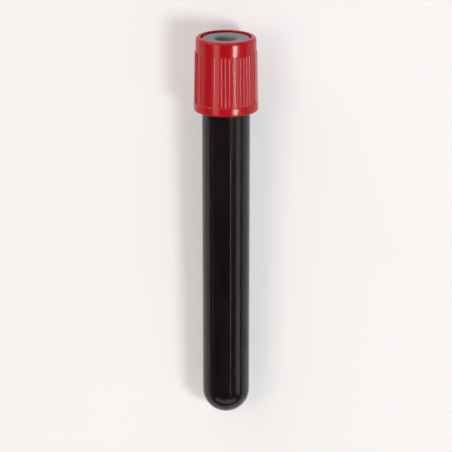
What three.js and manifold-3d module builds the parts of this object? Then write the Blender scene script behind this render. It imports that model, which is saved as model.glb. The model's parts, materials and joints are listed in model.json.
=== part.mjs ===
// A capped blood collection tube, 13 mm by 100 mm, full of blood and lying on its side.
//
// It has four pieces: a round-bottomed clear tube, the blood in it, a rubber stopper, and the
// ribbed plastic cap that holds the stopper. The cap and the stopper pull off the tube together.
//
// Each piece is turned about its own Y axis, with the tube's round end at y = 0 and the cap at
// the top. The whole is then laid down with the cap towards +X, so that it rests on the round
// end and on the band at the cap's foot. Sizes are in millimetres, and +Z is up.

import * as THREE from "three";
import { mergeVertices } from "three/addons/utils/BufferGeometryUtils.js";
import Module from "manifold-3d";

const wasm = await Module();
wasm.setup();

// ---- Tube -----------------------------------------------------------------------------------
const TUBE_LENGTH = 100; // round end to rim
const TUBE_RADIUS = 6.5; // outside, at the rim
const TUBE_DRAFT = 0.15; // how much the radius shrinks from the rim to the round end
const TUBE_WALL = 1.0;
const RIM_ROUND = 0.35; // of the rim's two edges

// ---- Gaps -----------------------------------------------------------------------------------
const SEAT_GAP = 0.3; // between pieces that touch
const SKIRT_CLEARANCE = 0.7; // between the tube and the cap's bore
const BEAD_CLEARANCE = 0.35; // between the tube and the cap's inner bead

// ---- Stopper --------------------------------------------------------------------------------
const FLANGE_OVERHANG = 0.6; // past the tube's outside
const FLANGE_THICKNESS = 3.3;
const TOP_RECESS = 0.45; // of the stopper's top below the cap's rim
const TOP_ROUND = 0.25;
const DIMPLE_RADIUS = 3.05; // the hollow that guides the needle
const DIMPLE_DEPTH = 2.8;
const DIMPLE_FLOOR_RADIUS = 2.1;
const PLUG_LENGTH = 7.2; // below the flange
const PLUG_LEAD = 0.25; // chamfer at the plug's foot
const SEAL_RINGS = 2;
const SEAL_RING_HEIGHT = 1.1;
const SEAL_RING_PROUD = 0.2;
const CUP_RADIUS = 3.4; // the hollow under the plug
const CUP_DEPTH = 3.6;

// ---- Cap ------------------------------------------------------------------------------------
const CAP_HEIGHT = 20;
const LIP_THICKNESS = 1.3;
const LIP_CATCH = 0.3; // of the lip over the stopper's flange
const LIP_ROUND = 0.25;
const LIP_GAP = 0.37; // the open ring between the lip and the stopper's top
const SHOULDER_WALL = 0.7; // outside the pocket that holds the stopper's flange
const SHOULDER_ROUND = 0.55;
const CAP_DRAFT = 0.25; // how much the body widens, in radius, down to the band
const BAND_HEIGHT = 2.4;
const BAND_PROUD = 0.35; // of the body above it
const BAND_ROUND = 0.3;
const BORE_LEAD = 0.3; // chamfer at the bore's mouth
const BEAD_HEIGHT = 0.9; // the inner bead that keeps the stopper in the cap

const RIB_GROUPS = 3; // alike, round the cap, with a plain panel between each two
const GROUP_PLACES = 16; // evenly spaced places for a rib in each group
const CLOSE_RIBS = 9; // side by side in the middle of each group
const RIB_RADIUS = 0.4; // of a rib's round section
const RIB_PROUD = 0.18;
const RIB_TOP_DROP = 3.7; // of the ribs' upper ends below the cap's rim
const PANEL_TURN = -39.5; // degrees from straight up to the middle of the first plain panel

// ---- Facets ---------------------------------------------------------------------------------
const FLOOR_FACETS = 28; // of the tube and of the cap's band, which lie on the floor
const STOPPER_FACETS = 48;
const CAP_FACETS = 2 * RIB_GROUPS * GROUP_PLACES; // so that every rib meets the body alike
const RIB_FACETS = 10;

// ---- Worked out from the sizes --------------------------------------------------------------
const endRadius = TUBE_RADIUS - TUBE_DRAFT; // of the round end, whose centre is at this height
const flangeRadius = TUBE_RADIUS + FLANGE_OVERHANG;
const lipRadius = flangeRadius - LIP_CATCH;
const topRadius = lipRadius - LIP_GAP;
const pocketRadius = flangeRadius + SEAT_GAP;
const shoulderRadius = pocketRadius + SHOULDER_WALL;
const footRadius = shoulderRadius + CAP_DRAFT;
const bandRadius = footRadius + BAND_PROUD;
const boreRadius = TUBE_RADIUS + SKIRT_CLEARANCE;
const beadRadius = TUBE_RADIUS + BEAD_CLEARANCE;

const flangeFoot = TUBE_LENGTH + SEAT_GAP;
const flangeTop = flangeFoot + FLANGE_THICKNESS;
const lipFoot = flangeTop + SEAT_GAP;
const capTop = lipFoot + LIP_THICKNESS;
const capFoot = capTop - CAP_HEIGHT;
const bandTop = capFoot + BAND_HEIGHT;
const stopperTop = capTop - TOP_RECESS;
const plugFoot = flangeFoot - PLUG_LENGTH;

const radians = THREE.MathUtils.degToRad;

// The tube's outer radius at a height above the round end's centre.
function tubeRadiusAt(y) {
  return endRadius + (TUBE_DRAFT * (y - endRadius)) / (TUBE_LENGTH - endRadius);
}

// The cap body's outer radius at a height between the band and the shoulder.
function capRadiusAt(y) {
  return footRadius - (CAP_DRAFT * (y - bandTop)) / (capTop - SHOULDER_ROUND - bandTop);
}

// The points of an arc, ends included, as [radius, height]. A depth makes it elliptical.
function arc(centreR, centreY, radius, fromDegrees, toDegrees, steps, depth = radius) {
  const points = [];
  for (let i = 0; i <= steps; i++) {
    const angle = radians(fromDegrees + ((toDegrees - fromDegrees) * i) / steps);
    points.push([centreR + radius * Math.cos(angle), centreY + depth * Math.sin(angle)]);
  }
  return points;
}

// A profile that goes up the outside and down the inside, turned so that a flat of the turned
// shape, and not an edge, faces the floor.
function turned(profile, facets) {
  const points = profile.map(([r, y]) => new THREE.Vector2(r, y));
  return new THREE.LatheGeometry(points, facets).rotateY(Math.PI / facets);
}

function tubeGeometry() {
  const innerEndRadius = endRadius - TUBE_WALL;
  const rimFoot = TUBE_LENGTH - RIM_ROUND;
  return turned(
    [
      [0, 0],
      ...arc(0, endRadius, endRadius, -80, 0, 9),
      ...arc(TUBE_RADIUS - RIM_ROUND, rimFoot, RIM_ROUND, 0, 90, 3),
      ...arc(TUBE_RADIUS - TUBE_WALL + RIM_ROUND, rimFoot, RIM_ROUND, 90, 180, 3),
      ...arc(0, endRadius, innerEndRadius, 0, -80, 8),
      [0, TUBE_WALL],
    ],
    FLOOR_FACETS,
  );
}

function bloodGeometry() {
  const level = plugFoot - SEAT_GAP;
  const endRadiusOfBlood = endRadius - TUBE_WALL - SEAT_GAP;
  return turned(
    [
      [0, TUBE_WALL + SEAT_GAP],
      ...arc(0, endRadius, endRadiusOfBlood, -80, 0, 8),
      [tubeRadiusAt(level) - TUBE_WALL - SEAT_GAP, level],
      [0, level],
    ],
    FLOOR_FACETS,
  );
}

// The plug's side from its foot to the flange, with the rings that seal against the tube.
function plugSide() {
  const ringRadius = tubeRadiusAt(plugFoot) - TUBE_WALL - SEAT_GAP;
  const neckRadius = ringRadius - SEAL_RING_PROUD;
  const side = [
    [neckRadius - PLUG_LEAD, plugFoot],
    [neckRadius, plugFoot + PLUG_LEAD],
  ];
  for (let ring = 1; ring <= SEAL_RINGS; ring++) {
    const middle = plugFoot + (ring * PLUG_LENGTH) / (SEAL_RINGS + 1);
    side.push(
      [neckRadius, middle - SEAL_RING_HEIGHT / 2],
      [ringRadius, middle - SEAL_RING_HEIGHT / 4],
      [ringRadius, middle + SEAL_RING_HEIGHT / 4],
      [neckRadius, middle + SEAL_RING_HEIGHT / 2],
    );
  }
  side.push([neckRadius, flangeFoot]);
  return side;
}

function stopperGeometry() {
  const dimpleRise = DIMPLE_RADIUS - DIMPLE_FLOOR_RADIUS;
  const cupTop = plugFoot + CUP_DEPTH;
  return turned(
    [
      [0, cupTop],
      ...arc(CUP_RADIUS / 2, plugFoot, CUP_RADIUS / 2, 90, 0, 5, CUP_DEPTH),
      ...plugSide(),
      [flangeRadius, flangeFoot],
      [flangeRadius, flangeTop],
      [topRadius, flangeTop],
      ...arc(topRadius - TOP_ROUND, stopperTop - TOP_ROUND, TOP_ROUND, 0, 90, 3),
      ...arc(DIMPLE_FLOOR_RADIUS, stopperTop, dimpleRise, 0, -90, 6, DIMPLE_DEPTH),
      [0, stopperTop - DIMPLE_DEPTH],
    ],
    STOPPER_FACETS,
  );
}

// The cap without its band and ribs: up the outside, over the rim, down the pocket, bead and bore.
function capShellGeometry() {
  const beadTop = flangeFoot - SEAT_GAP;
  const beadFoot = beadTop - BEAD_HEIGHT;
  const section = [
    [boreRadius + BORE_LEAD, capFoot],
    [footRadius, capFoot],
    [footRadius, bandTop],
    ...arc(shoulderRadius - SHOULDER_ROUND, capTop - SHOULDER_ROUND, SHOULDER_ROUND, 0, 90, 4),
    ...arc(lipRadius + LIP_ROUND, capTop - LIP_ROUND, LIP_ROUND, 90, 180, 3),
    [lipRadius, lipFoot],
    [pocketRadius, lipFoot],
    [pocketRadius, beadTop],
    [beadRadius, beadTop],
    [beadRadius, beadFoot],
    [boreRadius, beadFoot - (boreRadius - beadRadius)],
    [boreRadius, capFoot + BORE_LEAD],
  ];
  return turned([...section, section[0]], CAP_FACETS);
}

// The band round the cap's foot. Its sloped top runs on into the body's wall.
function bandGeometry() {
  const rootRadius = (boreRadius + footRadius) / 2;
  const section = [
    [rootRadius, capFoot],
    ...arc(bandRadius - BAND_ROUND, capFoot + BAND_ROUND, BAND_ROUND, -90, 0, 3),
    [bandRadius, bandTop - BAND_PROUD],
    [rootRadius, bandTop + footRadius - rootRadius],
  ];
  return turned([...section, section[0]], FLOOR_FACETS);
}

// A round-topped rib that leans with the body's draft and runs down into the band.
function ribGeometry() {
  const top = capTop - RIB_TOP_DROP;
  const foot = bandTop - BAND_PROUD / 2;
  const length = top - foot;
  const lean = Math.atan((capRadiusAt(foot) - capRadiusAt(top)) / length);
  const axisRadius = capRadiusAt(foot) - (RIB_RADIUS - RIB_PROUD);
  const rib = turned(
    [[0, 0], [RIB_RADIUS, 0], ...arc(0, length - RIB_RADIUS, RIB_RADIUS, 0, 90, 2)],
    RIB_FACETS,
  );
  return rib.rotateX(-lean).translate(0, foot, axisRadius);
}

// Each group has its close ribs in the middle, and beyond an empty place on either side one
// more rib, which edges the plain panel.
function hasRib(place) {
  const fromMiddle = Math.abs((place % GROUP_PLACES) - GROUP_PLACES / 2);
  const rowEnd = (CLOSE_RIBS - 1) / 2;
  return fromMiddle <= rowEnd || fromMiddle === rowEnd + 2;
}

// A closed geometry as a manifold-3d solid.
function solidFrom(geometry) {
  geometry.deleteAttribute("normal");
  geometry.deleteAttribute("uv");
  const merged = mergeVertices(geometry);
  return new wasm.Manifold(
    new wasm.Mesh({
      numProp: 3,
      vertProperties: new Float32Array(merged.attributes.position.array),
      triVerts: new Uint32Array(merged.index.array),
    }),
  );
}

// A manifold-3d solid as a three.js geometry.
function geometryFrom(solid) {
  const mesh = solid.getMesh();
  const geometry = new THREE.BufferGeometry();
  geometry.setAttribute("position", new THREE.BufferAttribute(mesh.vertProperties, 3));
  geometry.setIndex(new THREE.BufferAttribute(mesh.triVerts, 1));
  geometry.computeVertexNormals();
  return geometry;
}

function capGeometry() {
  const places = RIB_GROUPS * GROUP_PLACES;
  let cap = solidFrom(capShellGeometry()).add(solidFrom(bandGeometry()));
  for (let place = 0; place < places; place++) {
    if (!hasRib(place)) continue;
    const turn = radians(PANEL_TURN + (360 * place) / places);
    cap = cap.add(solidFrom(ribGeometry().rotateY(turn)));
  }
  return geometryFrom(cap);
}

// The slope of the tube's axis when the round end and the cap's band both touch the floor.
function restingSlope() {
  const along = capFoot + BAND_ROUND - endRadius;
  const across = bandRadius - BAND_ROUND;
  const centresSlope = Math.atan2(across, along);
  return centresSlope - Math.asin((endRadius - BAND_ROUND) / Math.hypot(along, across));
}

function piece(name, geometry, look) {
  const mesh = new THREE.Mesh(geometry, new THREE.MeshStandardMaterial({ metalness: 0, ...look }));
  mesh.name = name;
  return mesh;
}

const upright = new THREE.Group();
upright.add(
  piece("tube", tubeGeometry(), {
    color: "#dfe6e8",
    roughness: 0.08,
    transparent: true,
    opacity: 0.3,
  }),
  piece("blood", bloodGeometry(), { color: "#2a070b", roughness: 0.25 }),
  piece("stopper", stopperGeometry(), { color: "#7d8084", roughness: 0.6 }),
  piece("cap", capGeometry(), { color: "#b5101c", roughness: 0.3 }),
);
upright.rotation.z = radians(-90);

const resting = new THREE.Group();
resting.add(upright);
resting.rotation.y = -restingSlope();

const part = new THREE.Group();
part.add(resting);
part.updateMatrixWorld(true);

// The origin is under the middle of the part, on the floor.
const bounds = new THREE.Box3().setFromObject(resting, true);
resting.position.set(-(bounds.min.x + bounds.max.x) / 2, 0, -bounds.min.z);

export default part;
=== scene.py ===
"""The looks of the capped blood collection tube: smooth pieces, materials, light and camera.

Every piece is built in the tube's own terms: a radius from its axis, an angle round it from
straight up towards the right, and a height above the round end, all in millimetres and degrees.
"""

import json
import math

import bpy
from mathutils import Matrix, Vector


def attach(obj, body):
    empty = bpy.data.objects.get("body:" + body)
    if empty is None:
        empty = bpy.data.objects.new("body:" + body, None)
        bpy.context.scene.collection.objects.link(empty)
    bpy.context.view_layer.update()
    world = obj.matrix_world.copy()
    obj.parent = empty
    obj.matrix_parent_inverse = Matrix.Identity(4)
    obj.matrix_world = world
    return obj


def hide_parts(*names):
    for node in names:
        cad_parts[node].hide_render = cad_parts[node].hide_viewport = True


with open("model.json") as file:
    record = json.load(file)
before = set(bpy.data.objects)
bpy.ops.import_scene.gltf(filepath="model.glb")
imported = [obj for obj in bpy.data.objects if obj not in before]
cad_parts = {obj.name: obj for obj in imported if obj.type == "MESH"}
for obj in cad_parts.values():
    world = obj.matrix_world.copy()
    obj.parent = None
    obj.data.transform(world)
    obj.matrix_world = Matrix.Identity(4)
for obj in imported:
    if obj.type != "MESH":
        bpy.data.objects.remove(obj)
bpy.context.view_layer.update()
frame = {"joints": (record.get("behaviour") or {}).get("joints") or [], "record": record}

MM = 0.001

# ---- Sizes -----------------------------------------------------------------------------------

FLOOR_FACETS = 28  # of the solids where they lie on the floor
FLAT = math.cos(math.pi / FLOOR_FACETS)  # keeps the round pieces inside those flats

TUBE_LENGTH = 100
TUBE_RADIUS = 6.5 * FLAT  # outside, at the rim
TUBE_DRAFT = 0.15  # how much the radius shrinks from the rim to the round end
TUBE_WALL = 1.0
RIM_ROUND = 0.35
END_RADIUS = TUBE_RADIUS - TUBE_DRAFT  # of the round end, whose centre is at this height

BLOOD_LEVEL = 92.8
BLOOD_OVERLAP = 0.012  # into the wall, so that no air lies between them
MENISCUS = 0.45

PLUG_FOOT = 93.1
PLUG_RADIUS = 5.18  # at its sealing rings
PLUG_NECK_RADIUS = 4.98  # between them
PLUG_LEAD = 0.25  # chamfer at the plug's foot
PLUG_RINGS = (95.5, 97.9)  # heights of the rings' middles
PLUG_RING_HEIGHT = 1.1
CUP_RADIUS = 3.4  # the hollow under the plug
CUP_DEPTH = 3.6
FLANGE_RADIUS = 7.1
FLANGE_FOOT = 100.3
FLANGE_TOP = 103.6
FLANGE_CHAMFER = 0.1
STOPPER_TOP = 104.75
STOPPER_RADIUS = 6.43  # above the flange
STOPPER_ROUND = 0.3
DIMPLE_RADIUS = 2.8  # inside the rounding of its edge
DIMPLE_ROUND = 0.9
DIMPLE_DEPTH = 2.8
DIMPLE_FLOOR_RADIUS = 2.1

CAP_TOP = 105.2
CAP_FOOT = 85.2
BAND_TOP = 87.6
BAND_RADIUS = 8.7 * FLAT
BAND_DRAFT = 0.04  # how much the radius shrinks from the band's foot to its ledge
BAND_TOP_RADIUS = BAND_RADIUS - BAND_DRAFT
BAND_ROUND = 0.3
BAND_TOP_ROUND = 0.25
BODY_FOOT_RADIUS = 8.35
BODY_TOP_RADIUS = 8.1
LEDGE_SLOPE = 45  # degrees, so the ledge rises as much as it comes in
LEDGE_FOOT = BAND_TOP - (BAND_TOP_RADIUS - BODY_FOOT_RADIUS)
SHOULDER_ROUND = 0.85
SHOULDER_FOOT = CAP_TOP - SHOULDER_ROUND
LIP_RADIUS = 6.8  # inside, where the lip catches the stopper's flange
LIP_ROUND = 0.25
LIP_FOOT = 103.9
POCKET_RADIUS = 7.4  # the pocket holds the flange
POCKET_FOOT = 100.0
BEAD_RADIUS = 6.85  # the inner bead keeps the stopper in the cap
BEAD_FOOT = 99.1
BORE_RADIUS = 7.2
BORE_LEAD = 0.3  # chamfer at the bore's mouth

RIB_RADIUS = 0.54  # of a rib's round section
RIB_PROUD = 0.195
RIB_SINK = RIB_RADIUS - RIB_PROUD  # of the section's centre below the body's surface
RIB_FILLET = 0.045  # where a rib's side runs out into the body
RIB_REACH = math.sqrt((RIB_RADIUS + RIB_FILLET) ** 2 - (RIB_SINK + RIB_FILLET) ** 2)
RIB_LEAN = math.asin(RIB_REACH / (RIB_RADIUS + RIB_FILLET))  # where the fillet takes over
RIB_TOP = 101.5
RIB_END = RIB_TOP - RIB_RADIUS  # where the round upper end of a rib begins
RIB_GROUPS = 3  # alike, round the cap, with a plain panel between each two
GROUP_PLACES = 16  # evenly spaced places for a rib in each group
CLOSE_RIBS = 9  # side by side in the middle of each group
PLACE_STEP = 360 / (RIB_GROUPS * GROUP_PLACES)
PANEL_TURN = -39.5  # degrees from straight up to the middle of the first plain panel


# ---- Where the tube lies ---------------------------------------------------------------------

AXIS = Vector(frame["joints"][0]["axis"]).normalized()  # from the round end to the cap
RIGHT = Vector((0, -1, 0))
UP = RIGHT.cross(AXIS)

STOPPER_MOUNT_RADIUS = 4.6  # of the mount's point on the stopper's face

mounts = {mount["name"]: mount for mount in frame["record"]["mounts"]}
FOOT = (
    Vector(mounts["stopper_top"]["pos_m"])
    - UP * STOPPER_MOUNT_RADIUS * MM
    - AXIS * STOPPER_TOP * MM
)


def outward_at(degrees):
    """The direction straight out from the axis at an angle round it."""
    turn = math.radians(degrees)
    return UP * math.cos(turn) + RIGHT * math.sin(turn)


def place(radius, degrees, height):
    """A point of the row frame, in metres."""
    return FOOT + (outward_at(degrees) * radius + AXIS * height) * MM


def facing(point, x_axis, y_axis, z_axis):
    """The matrix that puts an object at a point and turns its axes to these."""
    turn = Matrix((x_axis, y_axis, z_axis)).transposed()
    return Matrix.Translation(point) @ turn.to_4x4()


# ---- Sections --------------------------------------------------------------------------------


def arc(centre_r, centre_y, radius, start, end, steps, depth=None):
    """The points of an arc, ends included, as (radius, height). A depth, its radius along the
    axis, makes it elliptical, and a negative one turns it upside down."""
    depth = radius if depth is None else depth
    points = []
    for i in range(steps + 1):
        angle = math.radians(start + (end - start) * i / steps)
        points.append((centre_r + radius * math.cos(angle), centre_y + depth * math.sin(angle)))
    return points


def line(start, end, steps):
    """The points of a straight run, without its ends."""
    return [
        tuple(a + (b - a) * i / steps for a, b in zip(start, end)) for i in range(1, steps)
    ]


def heights_up_to(end, start, steps):
    """Evenly spaced heights above start, the last of them at end."""
    return [start + (end - start) * i / steps for i in range(1, steps + 1)]


# ---- Meshes ----------------------------------------------------------------------------------


def make_object(name, points, faces, sharp_degrees):
    """A smooth mesh whose edges stay sharp where they turn by more than sharp_degrees."""
    mesh = bpy.data.meshes.new(name)
    mesh.from_pydata([tuple(p) for p in points], [], faces)
    mesh.validate()
    mesh.shade_smooth()
    mesh.set_sharp_from_angle(angle=math.radians(sharp_degrees))
    made = bpy.data.objects.new(name, mesh)
    bpy.context.scene.collection.objects.link(made)
    return made


def turned(name, section, columns, radius_at=None, closed=True, sharp_degrees=32):
    """A section turned round the axis. Its points go up the outside, and points at radius 0 are
    poles. Each column of points has an angle and, near a rib, the distance across from the
    rib's middle at that angle. radius_at may change a section point's radius in a column."""
    rings = []
    points = []
    for index, (radius, height) in enumerate(section):
        if radius == 0:
            rings.append([len(points)])
            points.append(place(0, 0, height))
            continue
        rings.append(list(range(len(points), len(points) + len(columns))))
        for degrees, across in columns:
            here = radius_at(index, radius, height, across) if radius_at else radius
            shift = math.degrees(math.asin(across / here)) if across else 0
            points.append(place(here, degrees + shift, height))
    faces = []
    count = len(columns)
    pairs = list(zip(rings, rings[1:]))
    if closed:
        pairs.append((rings[-1], rings[0]))
    for low, high in pairs:
        if len(low) == 1 and len(high) == 1:
            continue
        for i in range(count):
            j = (i + 1) % count
            if len(low) == 1:
                faces.append((low[0], high[j], high[i]))
            elif len(high) == 1:
                faces.append((low[i], low[j], high[0]))
            else:
                faces.append((low[i], low[j], high[j], high[i]))
    return make_object(name, points, faces, sharp_degrees)


def even(count):
    """Evenly spaced columns for turned, none of them near a rib."""
    return [(360 * i / count, None) for i in range(count)]


# ---- Tube and blood --------------------------------------------------------------------------


def tube_section():
    """Up the outside, over the rim and down the inside."""
    rim_foot = TUBE_LENGTH - RIM_ROUND
    inner_rim = TUBE_RADIUS - TUBE_WALL + RIM_ROUND
    outer_foot = (END_RADIUS, END_RADIUS)
    outer_top = (TUBE_RADIUS, rim_foot)
    inner_top = (TUBE_RADIUS - TUBE_WALL, rim_foot)
    inner_foot = (END_RADIUS - TUBE_WALL, END_RADIUS)
    outer_end = arc(0, END_RADIUS, END_RADIUS, -90, 0, steps=30)
    inner_end = arc(0, END_RADIUS, END_RADIUS - TUBE_WALL, 0, -90, steps=26)
    return [
        (0, 0),
        *outer_end[1:-1],
        outer_foot,
        *line(outer_foot, outer_top, steps=30),
        *arc(TUBE_RADIUS - RIM_ROUND, rim_foot, RIM_ROUND, 0, 90, steps=6),
        *arc(inner_rim, rim_foot, RIM_ROUND, 90, 180, steps=6),
        *line(inner_top, inner_foot, steps=30),
        inner_foot,
        *inner_end[1:-1],
        (0, TUBE_WALL),
    ]


def blood_section():
    """Up along the wall, then in over the hollow upper face."""
    foot_radius = END_RADIUS - TUBE_WALL + BLOOD_OVERLAP
    share = (BLOOD_LEVEL - END_RADIUS) / (TUBE_LENGTH - END_RADIUS)
    level_radius = foot_radius + TUBE_DRAFT * share
    foot = (foot_radius, END_RADIUS)
    edge = (level_radius, BLOOD_LEVEL)
    round_end = arc(0, END_RADIUS, foot_radius, -90, 0, steps=26)
    hollow = arc(0, BLOOD_LEVEL, level_radius, 0, 90, steps=10, depth=-MENISCUS)
    return [
        (0, TUBE_WALL - BLOOD_OVERLAP),
        *round_end[1:-1],
        foot,
        *line(foot, edge, steps=30),
        edge,
        *hollow[1:-1],
        (0, BLOOD_LEVEL - MENISCUS),
    ]


# ---- Stopper ---------------------------------------------------------------------------------


def plug_side():
    """From the plug's foot up past its sealing rings."""
    side = [(PLUG_NECK_RADIUS - PLUG_LEAD, PLUG_FOOT), (PLUG_NECK_RADIUS, PLUG_FOOT + PLUG_LEAD)]
    proud = PLUG_RADIUS - PLUG_NECK_RADIUS
    half_height = PLUG_RING_HEIGHT / 2
    for middle in PLUG_RINGS:
        side += arc(PLUG_NECK_RADIUS, middle, proud, -90, 90, steps=10, depth=half_height)
    return side


def stopper_section():
    """Out of the cup, up the plug and the flange, then in over the top and into the dimple."""
    edge_height = STOPPER_TOP - STOPPER_ROUND
    wall_height = STOPPER_TOP - DIMPLE_ROUND
    dimple_wall = arc(
        DIMPLE_FLOOR_RADIUS,
        wall_height,
        DIMPLE_RADIUS - DIMPLE_FLOOR_RADIUS,
        0,
        -90,
        steps=16,
        depth=DIMPLE_DEPTH - DIMPLE_ROUND,
    )
    return [
        (0, PLUG_FOOT + CUP_DEPTH),
        *arc(CUP_RADIUS / 2, PLUG_FOOT, CUP_RADIUS / 2, 90, 0, steps=10, depth=CUP_DEPTH),
        *plug_side(),
        (PLUG_NECK_RADIUS, FLANGE_FOOT),
        (FLANGE_RADIUS - FLANGE_CHAMFER, FLANGE_FOOT),
        (FLANGE_RADIUS, FLANGE_FOOT + FLANGE_CHAMFER),
        (FLANGE_RADIUS, FLANGE_TOP - FLANGE_CHAMFER),
        (FLANGE_RADIUS - FLANGE_CHAMFER, FLANGE_TOP),
        (STOPPER_RADIUS, FLANGE_TOP),
        *arc(STOPPER_RADIUS - STOPPER_ROUND, edge_height, STOPPER_ROUND, 0, 90, steps=8),
        *arc(DIMPLE_RADIUS + DIMPLE_ROUND, wall_height, DIMPLE_ROUND, 90, 180, steps=8)[:-1],
        *dimple_wall,
        (0, STOPPER_TOP - DIMPLE_DEPTH),
    ]


# ---- Cap -------------------------------------------------------------------------------------


def body_radius(height):
    """Of the cap's body, which narrows from the band to the shoulder."""
    share = (height - BAND_TOP) / (SHOULDER_FOOT - BAND_TOP)
    return BODY_FOOT_RADIUS + (BODY_TOP_RADIUS - BODY_FOOT_RADIUS) * share


def rib_turns():
    """The angles that have a rib: in each group the close ribs, and one more past an empty place
    on either side."""
    turns = []
    row_end = (CLOSE_RIBS - 1) // 2
    for place_index in range(RIB_GROUPS * GROUP_PLACES):
        from_middle = abs(place_index % GROUP_PLACES - GROUP_PLACES // 2)
        if from_middle <= row_end or from_middle == row_end + 2:
            turns.append(PANEL_TURN + PLACE_STEP * place_index)
    return turns


def rib_rise(from_middle):
    """How far a rib stands off the body at a distance from its middle line."""
    if from_middle <= RIB_RADIUS * math.sin(RIB_LEAN):
        return math.sqrt(RIB_RADIUS**2 - from_middle**2) - RIB_SINK
    if from_middle < RIB_REACH:
        return RIB_FILLET - math.sqrt(RIB_FILLET**2 - (RIB_REACH - from_middle) ** 2)
    return 0.0


def half_rib():
    """Distances from a rib's middle line to where it has run out, spaced evenly by slope."""
    round_steps = 7
    fillet_steps = 5
    distances = [
        RIB_RADIUS * math.sin(RIB_LEAN * i / round_steps) for i in range(1, round_steps + 1)
    ]
    for i in range(fillet_steps - 1, -1, -1):
        distances.append(RIB_REACH - RIB_FILLET * math.sin(RIB_LEAN * i / fillet_steps))
    return distances


def cap_columns():
    """Across each rib, and evenly spaced between the ribs."""
    widest_gap = 1.4  # degrees between two of the evenly spaced columns
    distances = half_rib()
    across_rib = [-d for d in reversed(distances)] + [0] + distances
    edge = math.degrees(RIB_REACH / BODY_FOOT_RADIUS)
    turns = rib_turns()
    columns = []
    for turn, following in zip(turns, [*turns[1:], turns[0] + 360]):
        columns += [(turn, across) for across in across_rib]
        start, end = turn + edge, following - edge
        gaps = math.ceil((end - start) / widest_gap)
        columns += [(start + (end - start) * i / gaps, None) for i in range(1, gaps)]
    return columns


def band_outside():
    """From the cap's foot up to where the band's ledge meets the body."""
    side_foot = (BAND_RADIUS, CAP_FOOT + BAND_ROUND)
    bend = BAND_TOP_ROUND * math.tan(math.radians(LEDGE_SLOPE / 2))
    top_edge = arc(
        BAND_TOP_RADIUS - BAND_TOP_ROUND,
        LEDGE_FOOT - bend,
        BAND_TOP_ROUND,
        0,
        LEDGE_SLOPE,
        steps=6,
    )
    body_foot = (BODY_FOOT_RADIUS, BAND_TOP)
    return [
        *arc(BAND_RADIUS - BAND_ROUND, CAP_FOOT + BAND_ROUND, BAND_ROUND, -90, 0, steps=8),
        *line(side_foot, top_edge[0], steps=4),
        *top_edge,
        *line(top_edge[-1], body_foot, steps=5),
        body_foot,
    ]


def body_outside():
    """From the band up to the shoulder, with rings close together at the ribs' round ends."""
    beside_ribs = heights_up_to(RIB_END, start=BAND_TOP, steps=12)
    at_their_ends = [RIB_END + distance for distance in half_rib()]
    above_them = heights_up_to(SHOULDER_FOOT, start=RIB_TOP, steps=4)[:-1]
    heights = beside_ribs + at_their_ends + above_them
    return [(body_radius(height), height) for height in heights]


def cap_section():
    """The cap's closed section, and how many of its points lie on the outside below the
    shoulder, where the ribs are."""
    outside = band_outside() + body_outside()
    bore_top = (BORE_RADIUS, BEAD_FOOT - (BORE_RADIUS - BEAD_RADIUS))
    bore_foot = (BORE_RADIUS, CAP_FOOT + BORE_LEAD)
    rest = [
        *arc(BODY_TOP_RADIUS - SHOULDER_ROUND, SHOULDER_FOOT, SHOULDER_ROUND, 0, 90, steps=10),
        *arc(LIP_RADIUS + LIP_ROUND, CAP_TOP - LIP_ROUND, LIP_ROUND, 90, 180, steps=6),
        (LIP_RADIUS, LIP_FOOT),
        (POCKET_RADIUS, LIP_FOOT),
        (POCKET_RADIUS, POCKET_FOOT),
        (BEAD_RADIUS, POCKET_FOOT),
        (BEAD_RADIUS, BEAD_FOOT),
        bore_top,
        *line(bore_top, bore_foot, steps=8),
        bore_foot,
        (BORE_RADIUS + BORE_LEAD, CAP_FOOT),
    ]
    return outside + rest, len(outside)


def make_cap():
    """The cap with its ribs, which stand on the band's ledge."""
    section, outside = cap_section()

    def ribbed(index, radius, height, across):
        if across is None or index >= outside or height < LEDGE_FOOT:
            return radius
        from_middle = math.hypot(across, max(0.0, height - RIB_END))
        return max(radius, body_radius(height) + rib_rise(from_middle))

    return turned("cap_shell", section, cap_columns(), radius_at=ribbed, sharp_degrees=35)


# ---- Material nodes --------------------------------------------------------------------------


def new_material(name):
    """A new material, its node tree and its shader."""
    material = bpy.data.materials.new(name)
    material.use_nodes = True
    tree = material.node_tree
    shader = next(node for node in tree.nodes if node.type == "BSDF_PRINCIPLED")
    return material, tree, shader


def coordinates(tree, stretch=(1, 1, 1)):
    """Object coordinates, which here are the row frame in metres, scaled along each axis. A
    small scale along X draws a pattern out along the tube."""
    source = tree.nodes.new("ShaderNodeTexCoord")
    mapping = tree.nodes.new("ShaderNodeMapping")
    mapping.inputs["Scale"].default_value = stretch
    tree.links.new(source.outputs["Object"], mapping.inputs["Vector"])
    return mapping.outputs["Vector"]


def noise(tree, vector, grain_mm, detail=3.0, roughness=0.55):
    """Soft noise whose lumps are about grain_mm across."""
    node = tree.nodes.new("ShaderNodeTexNoise")
    node.inputs["Scale"].default_value = 1 / (grain_mm * MM)
    node.inputs["Detail"].default_value = detail
    node.inputs["Roughness"].default_value = roughness
    tree.links.new(vector, node.inputs["Vector"])
    return node.outputs["Fac"]


def spread(tree, value, low, high, from_low=0.3, from_high=0.7):
    """value, mapped from from_low..from_high to low..high. Noise mostly keeps to 0.3..0.7."""
    node = tree.nodes.new("ShaderNodeMapRange")
    node.inputs["From Min"].default_value = from_low
    node.inputs["From Max"].default_value = from_high
    node.inputs["To Min"].default_value = low
    node.inputs["To Max"].default_value = high
    tree.links.new(value, node.inputs["Value"])
    return node.outputs["Result"]


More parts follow.
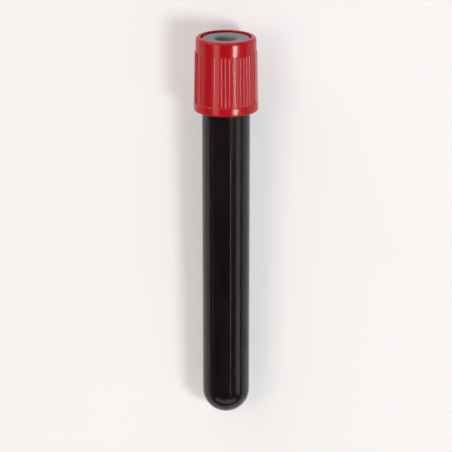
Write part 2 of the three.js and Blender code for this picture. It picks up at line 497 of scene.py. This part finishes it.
def blend_colours(tree, value, first, second, low=0.3, high=0.7):
    """The first colour where value is low or less, the second where it is high or more."""
    node = tree.nodes.new("ShaderNodeValToRGB")
    node.color_ramp.elements[0].position = low
    node.color_ramp.elements[0].color = (*first, 1)
    node.color_ramp.elements[1].position = high
    node.color_ramp.elements[1].color = (*second, 1)
    tree.links.new(value, node.inputs["Fac"])
    return node.outputs["Color"]


def combined(tree, operation, first, second):
    """What a Math node makes of two values."""
    node = tree.nodes.new("ShaderNodeMath")
    node.operation = operation
    tree.links.new(first, node.inputs[0])
    tree.links.new(second, node.inputs[1])
    return node.outputs[0]


def add_bump(tree, shader, value, strength, height_mm):
    """Shades the surface as if value raised it by up to height_mm."""
    node = tree.nodes.new("ShaderNodeBump")
    node.inputs["Strength"].default_value = strength
    node.inputs["Distance"].default_value = height_mm * MM
    tree.links.new(value, node.inputs["Height"])
    tree.links.new(node.outputs["Normal"], shader.inputs["Normal"])


# ---- The pieces' materials -------------------------------------------------------------------


def red_plastic():
    """Glossy moulded plastic with faint clouds and a fine orange peel."""
    material, tree, shader = new_material("red_plastic")
    where = coordinates(tree)
    clouds = noise(tree, where, grain_mm=4.0)
    peel = noise(tree, where, grain_mm=0.55, detail=2.0)
    colour = blend_colours(tree, clouds, (0.405, 0.0022, 0.0082), (0.455, 0.003, 0.01))
    tree.links.new(colour, shader.inputs["Base Color"])
    tree.links.new(spread(tree, peel, low=0.17, high=0.21), shader.inputs["Roughness"])
    add_bump(tree, shader, peel, strength=0.03, height_mm=0.01)
    shader.inputs["IOR"].default_value = 1.45
    shader.inputs["Specular IOR Level"].default_value = 0.36
    return material


def grey_rubber():
    """Matte rubber with faint clouds and a fine grain."""
    material, tree, shader = new_material("grey_rubber")
    where = coordinates(tree)
    clouds = noise(tree, where, grain_mm=2.5)
    grain = noise(tree, where, grain_mm=0.22, detail=4.0, roughness=0.7)
    colour = blend_colours(tree, clouds, (0.185, 0.177, 0.191), (0.222, 0.214, 0.23))
    tree.links.new(colour, shader.inputs["Base Color"])
    tree.links.new(spread(tree, grain, low=0.5, high=0.68), shader.inputs["Roughness"])
    add_bump(tree, shader, grain, strength=0.5, height_mm=0.03)
    shader.inputs["Specular IOR Level"].default_value = 0.35
    return material


def clear_plastic():
    """Clear plastic with a ripple and a slight haze, both drawn out along the tube."""
    material, tree, shader = new_material("clear_plastic")
    ripple = noise(tree, coordinates(tree, stretch=(0.08, 1, 1)), grain_mm=2.2, detail=1.0)
    haze = noise(tree, coordinates(tree, stretch=(0.3, 1, 1)), grain_mm=1.2, detail=4.0)
    colour = blend_colours(tree, haze, (0.93, 0.95, 0.95), (0.97, 0.98, 0.98))
    tree.links.new(colour, shader.inputs["Base Color"])
    tree.links.new(spread(tree, haze, low=0.02, high=0.06), shader.inputs["Roughness"])
    add_bump(tree, shader, ripple, strength=0.1, height_mm=0.02)
    shader.inputs["IOR"].default_value = 1.36
    shader.inputs["Transmission Weight"].default_value = 1.0
    return material


def blood():
    """Nearly black, as blood looks through the wall, with soft clouds along the tube."""
    material, tree, shader = new_material("blood")
    clouds = noise(tree, coordinates(tree, stretch=(0.4, 1, 1)), grain_mm=5.0, detail=4.0)
    darker, paler = (0.0045, 0.0016, 0.002), (0.0125, 0.0068, 0.0078)
    colour = blend_colours(tree, clouds, darker, paler, low=0.35, high=0.72)
    tree.links.new(colour, shader.inputs["Base Color"])
    tree.links.new(spread(tree, clouds, low=0.12, high=0.2), shader.inputs["Roughness"])
    add_bump(tree, shader, clouds, strength=0.05, height_mm=0.02)
    shader.inputs["Specular IOR Level"].default_value = 0.03
    return material


# ---- The pieces ------------------------------------------------------------------------------


def dress(piece, material, body, slot_name, *nodes):
    """Gives a piece its material and the body that it moves with, and hides the nodes of the CAD
    that it stands in for. slot_name is not used."""
    piece.data.materials.append(material)
    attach(piece, body)
    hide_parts(*nodes)


tube = turned("clear_tube", tube_section(), even(256))
dress(tube, clear_plastic(), "tube_body", "clear_plastic", "tube")

filling = turned("blood_filling", blood_section(), even(192), closed=False)
dress(filling, blood(), "tube_body", "blood", "blood")

stopper = turned("rubber_stopper", stopper_section(), even(192), closed=False)
dress(stopper, grey_rubber(), "closure", "grey_rubber", "stopper")

cap = make_cap()
dress(cap, red_plastic(), "closure", "red_plastic", "cap")


# ---- Floor and world -------------------------------------------------------------------------

FLOOR_SIZE = 14.0  # metres

# What is seen of the floor is mixed with plain white: by this share at the tube and far off,
# growing between these distances in metres.
WHITE_NEAR, WHITE_FAR = 0.3, 1.0
FADE_START, FADE_END = 0.25, 1.6


def seen_directly(tree):
    """1 for what the camera, a reflection or a clear piece shows, 0 for light that bounces."""
    rays = tree.nodes.new("ShaderNodeLightPath").outputs
    seen = combined(tree, "MAXIMUM", rays["Is Camera Ray"], rays["Is Glossy Ray"])
    return combined(tree, "MAXIMUM", seen, rays["Is Transmission Ray"])


def make_floor():
    """A wide pale floor that turns plain white far off, so that its end doesn't show."""
    half = FLOOR_SIZE / 2
    corners = [(-half, -half, 0), (half, -half, 0), (half, half, 0), (-half, half, 0)]
    floor = make_object("floor", corners, [(0, 1, 2, 3)], sharp_degrees=30)
    material, tree, shader = new_material("pale_floor")
    clouds = noise(tree, coordinates(tree), grain_mm=60.0)
    colour = blend_colours(tree, clouds, (0.905, 0.905, 0.905), (0.925, 0.925, 0.925))
    tree.links.new(colour, shader.inputs["Base Color"])
    shader.inputs["Roughness"].default_value = 0.9
    shader.inputs["Specular IOR Level"].default_value = 0.1
    distance = tree.nodes.new("ShaderNodeVectorMath")
    distance.operation = "LENGTH"
    tree.links.new(coordinates(tree), distance.inputs[0])
    far = spread(
        tree, distance.outputs["Value"], WHITE_NEAR, WHITE_FAR, FADE_START, FADE_END
    )
    share = combined(tree, "MULTIPLY", far, seen_directly(tree))
    white = tree.nodes.new("ShaderNodeEmission")
    white.inputs["Color"].default_value = (0.98, 0.98, 0.98, 1)
    mix = tree.nodes.new("ShaderNodeMixShader")
    tree.links.new(share, mix.inputs["Fac"])
    tree.links.new(shader.outputs[0], mix.inputs[1])
    tree.links.new(white.outputs[0], mix.inputs[2])
    output = next(node for node in tree.nodes if node.type == "OUTPUT_MATERIAL")
    tree.links.new(mix.outputs[0], output.inputs["Surface"])
    floor.data.materials.append(material)


def make_world():
    """White along the horizon and a dim even grey above it."""
    world = bpy.data.worlds.new("studio")
    bpy.context.scene.world = world
    world.use_nodes = True
    tree = world.node_tree
    background = next(node for node in tree.nodes if node.type == "BACKGROUND")
    source = tree.nodes.new("ShaderNodeTexCoord")
    split = tree.nodes.new("ShaderNodeSeparateXYZ")
    tree.links.new(source.outputs["Generated"], split.inputs[0])
    horizon, above = (0.95, 0.95, 0.95), (0.14, 0.14, 0.15)
    colour = blend_colours(tree, split.outputs["Z"], horizon, above, low=0.02, high=0.1)
    tree.links.new(colour, background.inputs["Color"])


make_floor()
make_world()


# ---- Light -----------------------------------------------------------------------------------

MIDDLE = place(0, 0, CAP_TOP / 2)

WHITE = (1, 1, 1)
WARM = (1.0, 0.8, 0.68)


def lamp(name, turn, along, length, width, brightness, colour=WHITE, away=1.0, lean=0.0):
    """A soft lamp whose brightness is how bright its face looks. Its face is centred away metres
    from the tube's axis at an angle round it, and along metres towards the cap. Its length runs
    with the tube, and lean turns its face about its width. length and width are in metres."""
    light = bpy.data.lights.new(name, "AREA")
    light.shape = "RECTANGLE"
    light.size = length
    light.size_y = width
    light.color = colour
    light.energy = brightness * math.pi * length * width
    made = bpy.data.objects.new(name, light)
    outward = outward_at(turn)
    leant = Matrix.Rotation(math.radians(lean), 3, AXIS.cross(outward))
    face_back = leant @ outward
    run = leant @ AXIS
    centre = MIDDLE + outward * away + AXIS * along
    made.matrix_world = facing(centre, run, face_back.cross(run), face_back)
    made.visible_camera = False
    bpy.context.scene.collection.objects.link(made)


# The two streaks down the cap, and the warm glow beside the brighter one.
lamp("key", turn=34, along=-0.112, length=0.21, width=0.25, brightness=29.0)
lamp(
    "key_wing", turn=46, along=-0.097, length=0.24, width=0.26, brightness=1.9,
    colour=(1.0, 0.76, 0.66), away=1.05,
)
lamp("second", turn=-37, along=-0.017, length=0.42, width=0.36, brightness=4.2, colour=WARM)

# On the cap's rim, the stopper's face and its dimple.
lamp(
    "second_top", turn=-36, along=0.31, length=0.14, width=0.4, brightness=5.5,
    colour=(1.0, 0.86, 0.76),
)
lamp("fill_left", turn=-55, along=0.8, length=0.6, width=0.6, brightness=1.2, away=0.8, lean=-45)
lamp("over_rim", turn=0, along=1.05, length=0.3, width=1.3, brightness=2.7, away=0.26, lean=-76)
lamp("face_left", turn=-80, along=0.9, length=0.4, width=0.4, brightness=4.5, away=0.8, lean=-48)

# From beyond the round end.
lamp("behind_end", turn=0, along=-0.95, length=0.5, width=2.0, brightness=1.1, away=0.62, lean=57)

# The lines and the band down the tube, below the cap.
lamp("thin_right", turn=23, along=-0.337, length=0.22, width=0.05, brightness=3.0)
lamp("band_right", turn=62, along=-0.337, length=0.22, width=0.46, brightness=1.6, colour=WARM)
lamp("thin_left", turn=-68, along=-0.337, length=0.22, width=0.05, brightness=0.9)


# ---- Camera ----------------------------------------------------------------------------------

CAMERA_RISE = 16.8  # degrees above square to the tube, towards the cap
CAMERA_AWAY = 0.9  # metres
FRAMED = 0.122  # metres across the picture at the tube
SENSOR_WIDTH = 36  # millimetres

camera_data = bpy.data.cameras.new("camera")
camera_data.sensor_width = SENSOR_WIDTH
camera_data.lens = SENSOR_WIDTH * CAMERA_AWAY / FRAMED
camera_data.clip_start = 0.05
camera_data.clip_end = 40
camera = bpy.data.objects.new("camera", camera_data)
bpy.context.scene.collection.objects.link(camera)
rise = math.radians(CAMERA_RISE)
back = UP * math.cos(rise) + AXIS * math.sin(rise)
camera.matrix_world = facing(MIDDLE + back * CAMERA_AWAY, RIGHT, back.cross(RIGHT), back)
bpy.context.scene.camera = camera

bpy.context.scene.view_settings.view_transform = "Standard"
